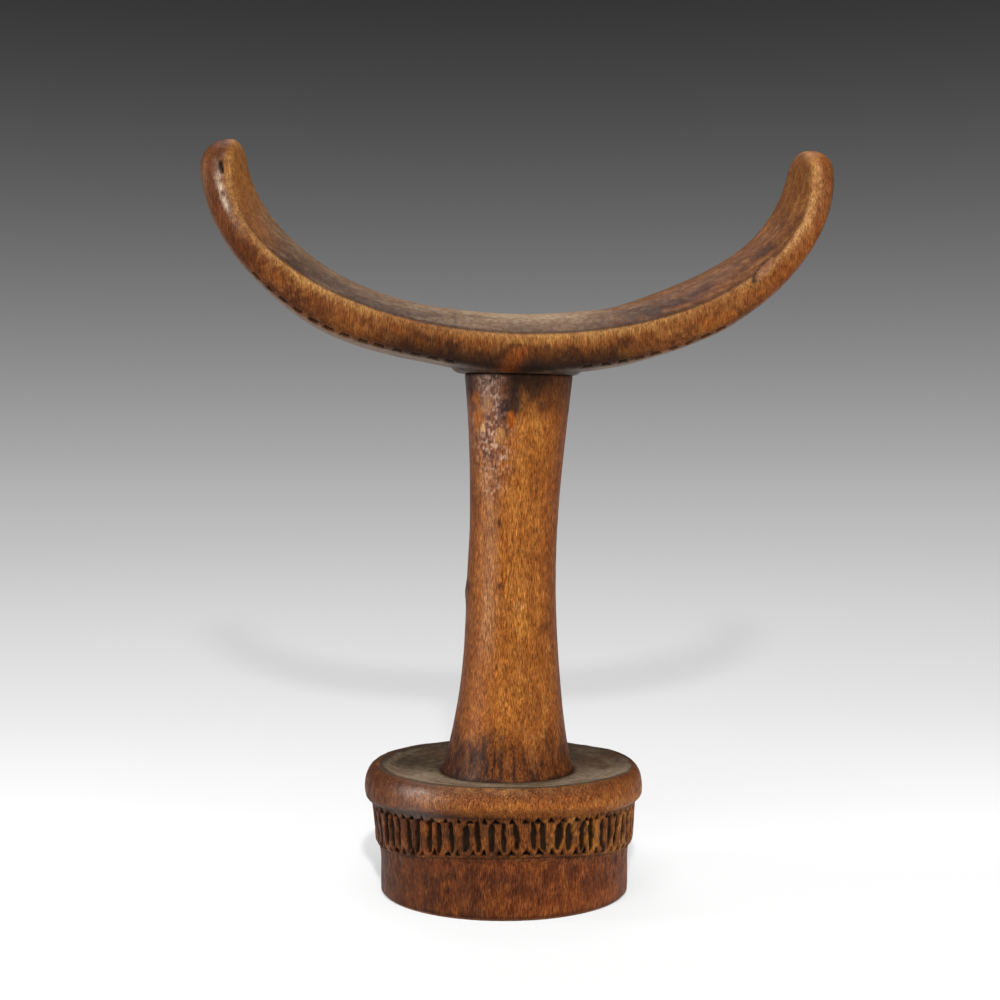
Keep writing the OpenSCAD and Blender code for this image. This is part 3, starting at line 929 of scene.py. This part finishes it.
CRADLE_HALF_STATIONS = 270
TIP_STATIONS = 12
CROWN_POINTS = 22
LIP_POINTS = 14
EDGE_POINTS = 11
UNDER_POINTS = 30
MORTISE_COLUMNS = 96
LIP_COLUMN = CROWN_POINTS - 1
EDGE_COLUMN = LIP_COLUMN + LIP_POINTS


def reach(half, low, drop, a):
    """Distance from the hub to an elliptical arc, at the angle a from straight down"""
    rise = WIDE_Z - drop - low
    up = HUB_Z - (WIDE_Z - drop)
    qa = (np.sin(a) / half) ** 2 + (np.cos(a) / rise) ** 2
    qb = -2 * up * np.cos(a) / rise ** 2
    qc = (up / rise) ** 2 - 1
    return (-qb + np.sqrt(qb * qb - 4 * qa * qc)) / (2 * qa)


def swell(bumps, a):
    """What the bumps add at the angle a"""
    return sum(amount * spot(a - at, wide) for amount, at, wide in bumps)


def reaches(a):
    """Distances from the hub to the crown, the lip and the underside"""
    crown = reach(CROWN_HALF, CROWN_Z, 0, a) + swell(CROWN_SWELL, a)
    lip = reach(LIP_HALF, LIP_Z, LIP_DROP, a) + swell(LIP_SWELL, a)
    under = reach(UNDER_HALF, UNDER_Z, UNDER_DROP, a) + swell(UNDER_ARM_SWELL, a)
    return crown, lip, under + UNDER_SWELL * np.sin(2 * np.clip(np.abs(a), 0, math.pi / 2))


def outward(a, power):
    return np.clip(np.abs(a) / (math.pi / 2), 0, 1) ** power


def squareness(a):
    """Power of the section's outline: square-edged at the middle, round at the tips"""
    return MID_SQUARE + (TIP_SQUARE - MID_SQUARE) * outward(a, 4)


def half_depth(a):
    return (MID_DEPTH + (TIP_DEPTH - MID_DEPTH) * outward(a, 2)) / 2


def resample(curve, shares):
    """Points at the given shares of a curve's length"""
    run = lengths(curve)
    return np.column_stack([np.interp(shares * run[-1], run, curve[:, i]) for i in (0, 1)])


def section_half(a):
    """Front half of the section at one angle, from the crown over the lip to the underside's middle"""
    crown, lip, under = reaches(a)
    depth = half_depth(a)
    power = 2 / squareness(a)
    t = np.linspace(0, 1, 60)
    fall = (1 - np.sqrt(1 - (CROWN_BEND * t) ** 2)) / (1 - math.sqrt(1 - CROWN_BEND ** 2))
    top = np.column_stack([depth * t, crown + (lip - crown) * fall])
    turn = np.linspace(0, math.pi / 2, 721)
    down = np.sin(turn) ** power
    side = np.column_stack([depth * np.abs(np.cos(turn)) ** power, lip + (under - lip) * down])
    middle = len(turn) // 2
    return [
        resample(top, 1 - (1 - np.linspace(0, 1, CROWN_POINTS)) ** 1.3),
        resample(side[:middle + 1], np.linspace(0, 1, LIP_POINTS + 1))[1:],
        resample(side[middle:], np.linspace(0, 1, UNDER_POINTS + EDGE_POINTS) ** 1.6)[1:]]


def edge_place(a):
    """Place of the lower edge at one angle: across, forward and up from the hub"""
    _, lip, under = reaches(a)
    power = 2 / squareness(a)
    r = lip + (under - lip) * math.sin(math.pi / 4) ** power
    return np.array([r * math.sin(a), half_depth(a) * math.cos(math.pi / 4) ** power, -r * math.cos(a)])


def notch_angles(count):
    """Angles of the notches in one row, evenly apart along the lower edge"""
    a = math.asin(NOTCH_START / reaches(0.0)[2])
    angles = [a]
    step = math.radians(0.5)
    for _ in range(count - 1):
        speed = np.linalg.norm(edge_place(a + step) - edge_place(a - step)) / (2 * step)
        a += NOTCH_PITCH / speed
        angles.append(a)
    return angles


def cradle_stations():
    """Angles and sizes of the sections, evenly apart along the underside, and the angles of both ends"""
    tip_mid = (CROWN_HALF + UNDER_HALF) / 2
    ends = [math.pi / 2 + math.atan((TIP_RISE + lift + HUB_DROP) / tip_mid) for lift in TIP_LIFT]
    fulls = [end - math.atan(TIP_ROUND / tip_mid) for end in ends]
    fine = np.linspace(-fulls[0], fulls[1], 2001)
    under = reaches(fine)[2]
    run = lengths(np.column_stack([under * np.sin(fine), -under * np.cos(fine)]))
    body = np.interp(np.linspace(0, run[-1], 2 * CRADLE_HALF_STATIONS + 1), run, fine)
    ways = np.sin((math.pi / 2) * (np.arange(1, TIP_STATIONS + 1) / (TIP_STATIONS + 0.6)))
    left, right = (full + (end - full) * ways for full, end in zip(fulls, ends))
    shrink = (1 - ways ** TIP_BLUNT) ** (1 / TIP_BLUNT)
    sizes = np.concatenate([shrink[::-1], np.ones(len(body)), shrink])
    return np.concatenate([-left[::-1], body, right]), sizes, ends


def cradle_sections(angles):
    """The whole section at each angle, as (forward, distance from the hub)"""
    halves = np.stack([np.vstack(section_half(a)) for a in angles])
    sections = np.concatenate([halves, halves[:, -2:0:-1] * [-1, 1]], axis=1)
    count = sections.shape[1]
    for lip in (LIP_COLUMN, count - LIP_COLUMN):
        soften(sections, lip - 3, lip + 4, 3)
    # Towards the tips the lips fade into one rounded surface
    rounder = sections.copy()
    for first, last in ((2, EDGE_COLUMN - 1), (count - EDGE_COLUMN + 2, count - 1)):
        soften(rounder, first, last, 90)
    return sections + (rounder - sections) * smooth(1.15, 1.5, np.abs(angles))[:, None, None]


def notch_depths(rings, poles, angles):
    """How deep each point lies in a notch, from 0 to 1, for the rows of notches along both lower edges"""
    count = rings.shape[1]
    station = rows_of(len(angles), count)
    run = lengths(rings[:, EDGE_COLUMN])
    centre = np.interp(0, angles, run)
    along = (run - centre)[station]
    flat = np.concatenate([rings.reshape(-1, 3), poles])
    to_edge = np.full(len(flat), np.inf)
    for column in (EDGE_COLUMN + NOTCH_UNDER, count - EDGE_COLUMN - NOTCH_UNDER):
        edge = np.concatenate([rings[station[:-2], column], poles])
        to_edge = np.minimum(to_edge, np.linalg.norm(flat - edge, axis=1))
    picker = np.random.default_rng(9)
    depth = np.zeros(len(flat))
    for way, notches in zip((-1, 1), NOTCHES):
        for angle in notch_angles(notches):
            at = np.interp(way * angle, angles, run) - centre + picker.uniform(-0.25, 0.25)
            long = NOTCH_LEN * picker.uniform(0.85, 1.1) / 2
            inside = 1 - smooth(long - 0.25, long + 0.25, np.abs(along - at))
            depth = np.maximum(depth, inside * picker.uniform(0.8, 1.1))
    return depth * np.clip(1.4 - to_edge / 0.5, 0, 1)


def make_cradle():
    angles, sizes, ends = cradle_stations()
    sections = cradle_sections(angles)
    crown, _, under = reaches(angles)
    mid = (crown + (under - crown) * np.where(angles < 0, *TIP_SHARE))[:, None]
    y = sections[:, :, 0] * sizes[:, None]
    r = mid + (sections[:, :, 1] - mid) * sizes[:, None]
    a = angles[:, None] - TIP_TILT * smooth(1.3, 1.6, -angles)[:, None] * (mid - r)
    rings = np.stack([CRADLE_SIDE + r * np.sin(a), -y, HUB_Z - r * np.cos(a)], -1)
    poles = [[CRADLE_SIDE + mid[i, 0] * math.sin(e), 0, HUB_Z - mid[i, 0] * math.cos(e)]
             for i, e in ((0, -ends[0]), (-1, ends[1]))]
    rings, poles = rings + [0, 0, STEM_LEN], np.array(poles) + [0, 0, STEM_LEN]
    piece = closed_mesh("cradle_wood", leaning(rings), leaning(poles[0]), leaning(poles[1]))

    notch = notch_depths(rings, poles, angles)
    store(piece, "notch", notch)
    points = points_of(piece)
    dents = unevenness(points, (0.18, 14, 81), (0.06, 5, 82), (0.02, (0.8, 0.8, 2.5), 83))
    x, y, z = points.T
    chip = FLAW_DEPTH * smooth(0.0, 0.35, flaw_place(x, z)[2]) * (y < -0.3 * half_depth(0.9))
    slit = SLIT_DEPTH * smooth(0.3, 0.6, slit_spot(x, z)) * (y < 0)
    inset = INSET * smooth(*INSET_RISE, np.abs(x - CRADLE_SIDE))
    press(piece, NOTCH_DEPTH * notch + dents + inset + chip + slit)
    seat_boss(piece)
    cut_away(piece, [mortise_cutter(TOP_TENON_R + 0.1, STEM_LEN - 1, STEM_LEN + TOP_TENON_LEN + 0.01)])
    paint_cradle(piece)
    return piece


def seat_boss(piece):
    """Draws the underside down round the stem's top, in a shallow boss with a cove"""
    x, y, z = upright(points_of(piece))
    z = z - STEM_LEN
    off = np.hypot(x, y) - BOSS_R
    cove = BOSS_COVE - np.sqrt(np.clip(BOSS_COVE ** 2 - off ** 2, 0, None))
    boss = np.where(off < 0, 0.0, cove)
    near = (off < BOSS_COVE) & (z < 6) & (z > -2) & (boss < z)
    set_points(piece, leaning(np.column_stack([x, y, np.where(near, boss, z) + STEM_LEN])))


def mortise_cutter(radius, low, high):
    """A plain closed cylinder in the leaning frame"""
    rings = level_rings(MORTISE_COLUMNS, [(radius, low), (radius, high)])
    return closed_mesh("mortise", leaning(rings), leaning([0, 0, low]), leaning([0, 0, high]))


def slit_spot(x, z):
    dx, dz = x - SLIT_AT[0], z - SLIT_AT[1]
    return spot(dx + SLIT_LEAN * dz, SLIT_HALF[0], dz, SLIT_HALF[1])


def flaw_place(x, z):
    """The long chip in the right arm's lip: places along and across it, and 1 to 0 from its middle out"""
    c, s = math.cos(FLAW_SLOPE), math.sin(FLAW_SLOPE)
    dx, dz = x - FLAW_AT[0], z - FLAW_AT[1]
    along, across = dx * c + dz * s, dz * c - dx * s
    return along, across, 1 - (along / FLAW_HALF[0]) ** 2 - (across / FLAW_HALF[1]) ** 2


def paint_cradle(piece):
    points = points_of(piece)
    x, y, z = points.T
    across, _, up = upright(points)
    from_hub = across - CRADLE_SIDE, HUB_Z - (up - STEM_LEN)
    a = np.arctan2(*from_hub)
    r = np.hypot(*from_hub)
    _, lip, under = reaches(np.clip(a, -1.6, 1.6))
    # Depth below the lip, 0 at the lip and 1 at the underside, and share of the way out to the faces
    low = (r - lip) / (under - lip)
    out = np.abs(y) / half_depth(a)
    front = (y < 0).astype(float)
    face = smooth(0.72, 0.88, out) * smooth(-0.12, 0.02, low)
    seat = 1 - smooth(-0.12, 0.0, low)
    below = (1 - smooth(0.72, 0.88, out)) * smooth(0.7, 0.9, low)
    tip = smooth(1.3, 1.6, np.abs(a))
    middle = 1 - smooth(0.42, 0.8, np.abs(a + 0.05))
    flat = np.column_stack([a * 74, y, r])
    blotch, patch, fine, streak, thin_streak, scratch = rough_noises(
        flat, ((16, 9, 6), 91), ((5, 4, 3), 92), ((1.5, 1.5, 1.3), 94), ((26, 1.3, 3), 93),
        ((9, 0.6, 2), 95), ((0.5, 3, 4), 96))
    calm = 1 - 0.65 * smooth(0.5, 0.9, a)
    lip_light = 0.62 + 0.25 * spot(a + 1.0, 0.2) + 0.2 * spot(a - 0.45, 0.22)
    lip_light = lip_light - 0.35 * spot(a + 0.55, 0.25) - 0.4 * spot(a - 0.95, 0.15)
    stain = middle * smooth(0.22, 0.62, low + 0.14 * patch + 0.06 * scratch)
    near_stem = spot(a, 0.36)
    arms = smooth(0.3, 0.6, np.abs(a))
    right_arm = smooth(0.35, 0.9, a)
    crease = spot(low + 0.05, 0.035) * smooth(0.6, 0.85, out) * (1 - 0.75 * smooth(0.8, 1.2, np.abs(a)))
    rim_light = smooth(0.9, 1.0, low) * smooth(0.7, 0.9, out) * (1 - near_stem)
    left_tip_highlight = spot(low - 0.36 + 0.6 * (a + 1.45), 0.09, a + 1.44, 0.07)
    notch = fetch(piece.data.attributes["notch"].data, "value", 1)[:, 0]
    along, across, inside = flaw_place(x, z)
    chip = front * smooth(0.0, 0.25, inside)
    chip_edge = spot(inside - 0.1, 0.3)
    paint = Paint(len(points), "#96602f")
    # Faces: golden at the right, red-brown at the left, a painted highlight band along the lip, dark
    # towards the stem
    paint.coats(face,
        ("#7c4a27", 0.85, (0.1, 0.5, -a)),
        ("#a9743a", 0.55, (0, 0.4, blotch)),
        ("#55301a", 0.7, (0.02, 0.35, patch), (0.1, 0.45, low), calm),
        ("#a8601f", 0.5, (0.08, 0.4, -patch), (0.15, 0.5, low)),
        ("#c08a48", 0.4, (0.12, 0.4, fine), (0.9, 0.5, low)),
        ("#4a2a18", 0.45, (0.12, 0.4, -fine), (0.1, 0.6, low)),
        ("#bd9154", 1, (0.32, 0.08, low + 0.12 * scratch), lip_light),
        ("#43280f", 1, stain, 0.86 - 0.15 * smooth(0.1, 0.3, a)),
        ("#3a2314", 0.7, middle, (0.55, 0.9, low + 0.1 * patch)),
        ("#96602f", 0.6, spot(a + 0.76, 0.14), (0.15, 0.45, low)),
        ("#241b13", 0.85, near_stem, (0.5, 0.95, low + 0.1 * patch)))
    paint.coats(front,
        ("#96521f", 0.75, face, spot(x - 2.6 + 6 * (low - 0.5), 2.4), (0.25, 0.45, low)),
        ("#2a1c14", 0.8, face, spot(x - 2.4, 1.6, z - 134.9, 0.3)))
    # Seat: grey-brown, streaked along the arc, pale over the crown as dust with a painted sheen, dark just
    # inside the lips
    paint.coats(seat,
        ("#7c6650", 0.95),
        ("#4f3626", 1, (0.35, 0.95, out + 0.12 * streak), 0.5 + 0.35 * arms),
        ("#4a3a2e", 0.6, (0.2, 0.5, -a), (0.3, 0.9, out + 0.15 * patch)),
        ("#b8a48a", 0.8, spot(a, 0.6), (0.9, 0.3, out)),
        ("#9b8468", 0.4, (0.1, 0.6, streak)),
        ("#4b3830", 0.45, (0.1, 0.6, -streak)),
        ("#8f6340", 0.45, (0.25, 0.7, thin_streak)),
        ("#71441c", 0.85, right_arm),
        ("#9a6a38", 0.5, right_arm, (0, 0.4, thin_streak)),
        ("#3c2214", 0.85, right_arm, (-0.25, 0.25, -streak), spot(out - 0.75, 0.22)),
        ("#40302a", 0.75, spot(a - 0.72, 0.22), spot(out - 0.78, 0.2), (-0.5, 0.2, patch)))
    # Painted shade: a thin dark line along the crease between the seat and the lip
    paint.coats(crease, ("#1f140e", 0.85))
    paint.coats(seat,
        ("#96642c", 0.7, tip, a > 0, (0.2, 0.9, out)),
        ("#a0682f", 0.85, (1.26, 1.5, -a + 0.08 * patch)),
        ("#9b6634", 0.6, (1.15, 1.3, -a), (0.5, 0.8, out)))
    paint.coats(front, ("#4c4030", 0.6, seat, spot(x + 12.6, 0.5), (0.3, 0.6, out)))
    # Underside: paler and greyer, as dust with a painted sheen of the floor's light, darker round the stem
    paint.coats(below,
        ("#84705b", 0.85),
        ("#a89a80", 0.4, (0, 0.6, thin_streak + 0.5 * patch)),
        ("#6a4c36", 0.4, (0.1, 0.6, blotch)),
        ("#6f4a2e", 0.8, (0.8, 1.3, np.abs(a))),
        ("#3a2a1e", 0.9, (18.5, 14.5, np.abs(x - 3))))
    paint.coats(rim_light, ("#a8977a", 0.6))
    # Tips: golden ridges, worn and with painted highlight, over dark red-brown; a near-white painted
    # highlight on the left tip's face
    paint.coats(tip,
        ("#80481f", 0.75, face, (0.1, 0.5, low + 0.2 * patch)),
        ("#b58344", 0.5, spot(low, 0.12)))
    paint.coats(front,
        ("#5c3012", 0.75, (0.9, 1.3, -a), face, (0.45, 0.9, low + 0.15 * fine)),
        ("#6b3a14", 0.75, (1.1, 1.4, -a), face, (0.1, 0.45, low + 0.15 * patch)))
    paint.coats(1, ("#542c12", 0.8, (1.5, 1.6, -a), (0, 0.3, low + 0.2 * patch)))
    paint.coats(front,
        ("#cf9f66", 0.55, (1.2, 1.45, a), face, spot(low - 0.1, 0.25)),
        ("#a5612a", 0.6, spot(a - 1.25, 0.2), face, (0.3, 0.6, low + 0.2 * patch)),
        ("#f4e6d0", 0.95, face, left_tip_highlight, (-0.6, 0.1, fine)))
    # Marks on the front: a slit in the left tip and a long chip in the right arm's lip
    paint.coats(1,
        ("#1c120d", 0.95, front, (0.25, 0.6, slit_spot(x, z))),
        ("#9a6c4c", 0.8, chip),
        ("#22150f", 0.95, front, chip_edge, (-0.3, 0.4, across - 0.25 * along)),
        ("#5f4028", 0.3, face, (0.25, 0.7, fine)),
        ("#140d09", 0.97, (0.2, 0.6, notch)))
    paint.keep(piece)
    store(piece, "fleck", (1 - 0.7 * seat) * (1 - chip))
    store(piece, "grime", 0.1 * seat)
    store(piece, "polish", front * face * spot(low - 0.4, 0.22) * spot(a + 1.42, 0.1))


# Stage

FLOOR_R = 9000.0
FLOOR_SIDES = 96
FLOOR_GREY = 0.49
SHADOW_SHARE = 0.24
WORLD_LIGHT = 0.25
# The backdrop's grey as shown, at the eye's level: its value, slope and bends below and above
LEVEL_GREY = 0.614
LEVEL_SLOPE = 2.2
FLOOR_BEND = -2.05
SKY_BEND = 1.93
DARKEST = 0.17
# Light on the floor far off and round the object
FLOOR_LIGHT = (0.26, 1.29)
# A small lamp far in front that lights the paper alone, for the cradle's faint shadow behind the object
SHADOW_LAMP = Vector((-12.0, -590.0, 368.0)) * MM
SHADOW_LAMP_R = 17 * MM
SHADOW_POWER = 46.0
# Level camera, turned a little to the right, with a focal length of 1.8 times the picture's width
EYE = Vector((-24.55, -449.33, 117.5)) * MM
EYE_TURN = 3
AHEAD = Vector((math.sin(math.radians(EYE_TURN)), math.cos(math.radians(EYE_TURN)), 0))
SENSOR_W = 36.0
LENS = 64.8
SHIFT_UP = -0.0823
AIM_Z = 100


def paper_grey(shader, fall, bend):
    """Grey of the paper behind the object for a place that is seen this far below the eye's level"""
    curve = shader.plus(shader.times(fall, bend), LEVEL_SLOPE)
    shown = shader.plus(shader.times(fall, curve), LEVEL_GREY)
    shown = shader.math("MINIMUM", shader.math("MAXIMUM", shown, DARKEST), 1.0)
    return shader.math("POWER", shader.math("DIVIDE", shader.plus(shown, 0.055), 1.055), 2.4)


def make_world():
    """An even pale light all round, and for the eye and for gloss a backdrop that darkens upward"""
    world = bpy.data.worlds.new("studio")
    scene.world = world
    s = Shader(world, "OutputWorld")
    part = s.parts()
    level = s.math("MAXIMUM", s.length(part), 0.05)
    fall = s.math("DIVIDE", s.times(part["Z"], -1.0), level)
    grey = paper_grey(s, s.math("MAXIMUM", fall, -0.5), SKY_BEND)
    s.by_ray(s.glow("Background", WORLD_LIGHT), s.glow("Background", grey))


def floor_paper():
    """Pale paper that keeps the object's shadow and greys away from the eye"""
    material = bpy.data.materials.new("floor_paper")
    s = Shader(material)
    part = s.parts()
    ahead = s.plus(s.times(part["X"], AHEAD.x), s.times(part["Y"], AHEAD.y))
    # Away from the object on the other sides the paper darkens as it does behind it
    far_off = s.less(s.times(s.length(part), 0.9), 0.07)
    farthest = s.math("MAXIMUM", ahead, far_off)
    fall = s.math("DIVIDE", EYE.z, s.less(farthest, EYE.dot(AHEAD)))
    # A point lamp of P watts at height h lights white paper with P h / (4 pi^2 d^3) at the distance d
    away = s.node("VectorMath")
    away.operation = "DISTANCE"
    s.put(away.inputs[0], s.place)
    away.inputs[1].default_value = SHADOW_LAMP
    strength = SHADOW_POWER * SHADOW_LAMP.z / (4 * math.pi ** 2)
    small_lamp = s.times(s.math("POWER", away.outputs["Value"], -3.0), strength)
    # The light of the soft boxes and of the small lamp adds to the paper's own grey, so it is taken off
    lit = s.plus(s.span(fall, 0.035, 0.175, *FLOOR_LIGHT), small_lamp)
    lit = s.times(lit, SHADOW_SHARE)
    own = s.less(paper_grey(s, fall, FLOOR_BEND), lit)
    shade = s.node("BsdfDiffuse")
    shade.inputs["Color"].default_value = (SHADOW_SHARE, SHADOW_SHARE, SHADOW_SHARE, 1)
    both = s.node("AddShader")
    s.put(both.inputs[0], s.glow("Emission", s.math("MAXIMUM", own, 0.0)))
    s.put(both.inputs[1], shade.outputs[0])
    plain = s.node("BsdfDiffuse")
    # The object gets none of the small lamp's light back from the paper
    held_back = s.math("DIVIDE", FLOOR_LIGHT[1], s.plus(small_lamp, FLOOR_LIGHT[1]))
    s.put(plain.inputs["Color"], s.times(held_back, FLOOR_GREY))
    s.by_ray(plain.outputs[0], both.outputs[0])
    return material


finish_piece(make_base(), "base", carved_wood("base_patina", 0.75, 0.5))
finish_piece(make_stem(), "stem", carved_wood("stem_patina", 0.7, 0.45))
finish_piece(make_cradle(), "cradle", carved_wood("cradle_patina", 0.5, 0.45))
wedge_finish = split_wood("split_wood")
for node in ("lower_wedge", "upper_wedge"):
    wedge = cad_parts[node]
    wedge.data.materials.clear()
    wedge.data.materials.append(wedge_finish)

make_world()

camera_data = bpy.data.cameras.new("camera")
camera_data.sensor_width = SENSOR_W
camera_data.lens = LENS
camera_data.shift_y = SHIFT_UP
camera_data.clip_start, camera_data.clip_end = 0.01, 100
camera = place("camera", camera_data)
camera.location = EYE
camera.rotation_euler = AHEAD.to_track_quat("-Z", "Y").to_euler()
scene.camera = camera

floor = solid("floor", level_rings(FLOOR_SIDES, [(FLOOR_R, 0)])[0], [list(range(FLOOR_SIDES))])
floor.data.materials.append(floor_paper())


def lamp(name, azimuth, elevation, distance, width, height, power):
    """A soft box that looks at the object's middle; azimuth 0 is towards the eye and grows to the right"""
    data = bpy.data.lights.new(name, "AREA")
    data.shape = "RECTANGLE"
    data.size, data.size_y = width * MM, height * MM
    data.energy = power
    box = place(name, data)
    a, e = math.radians(azimuth - EYE_TURN), math.radians(elevation)
    back = Vector((math.sin(a) * math.cos(e), -math.cos(a) * math.cos(e), math.sin(e)))
    box.location = (Vector((0, 0, AIM_Z)) + back * distance) * MM
    box.rotation_euler = back.to_track_quat("Z", "Y").to_euler()


lamp("left_box", -84, 18, 900, 140, 420, 4.0)
lamp("front_top_box", -8, 52, 1000, 600, 500, 9.0)
lamp("back_top_box", 10, 118, 900, 700, 300, 3.5)
lamp("right_box", 55, 26, 1000, 600, 600, 3.5)

shadow_data = bpy.data.lights.new("shadow_lamp", "POINT")
shadow_data.shadow_soft_size = SHADOW_LAMP_R
shadow_data.energy = SHADOW_POWER
shadow_lamp = place("shadow_lamp", shadow_data)
shadow_lamp.location = SHADOW_LAMP
paper_only = bpy.data.collections.new("paper_only")
paper_only.objects.link(floor)
shadow_lamp.light_linking.receiver_collection = paper_only

scene.view_settings.view_transform = "Standard"
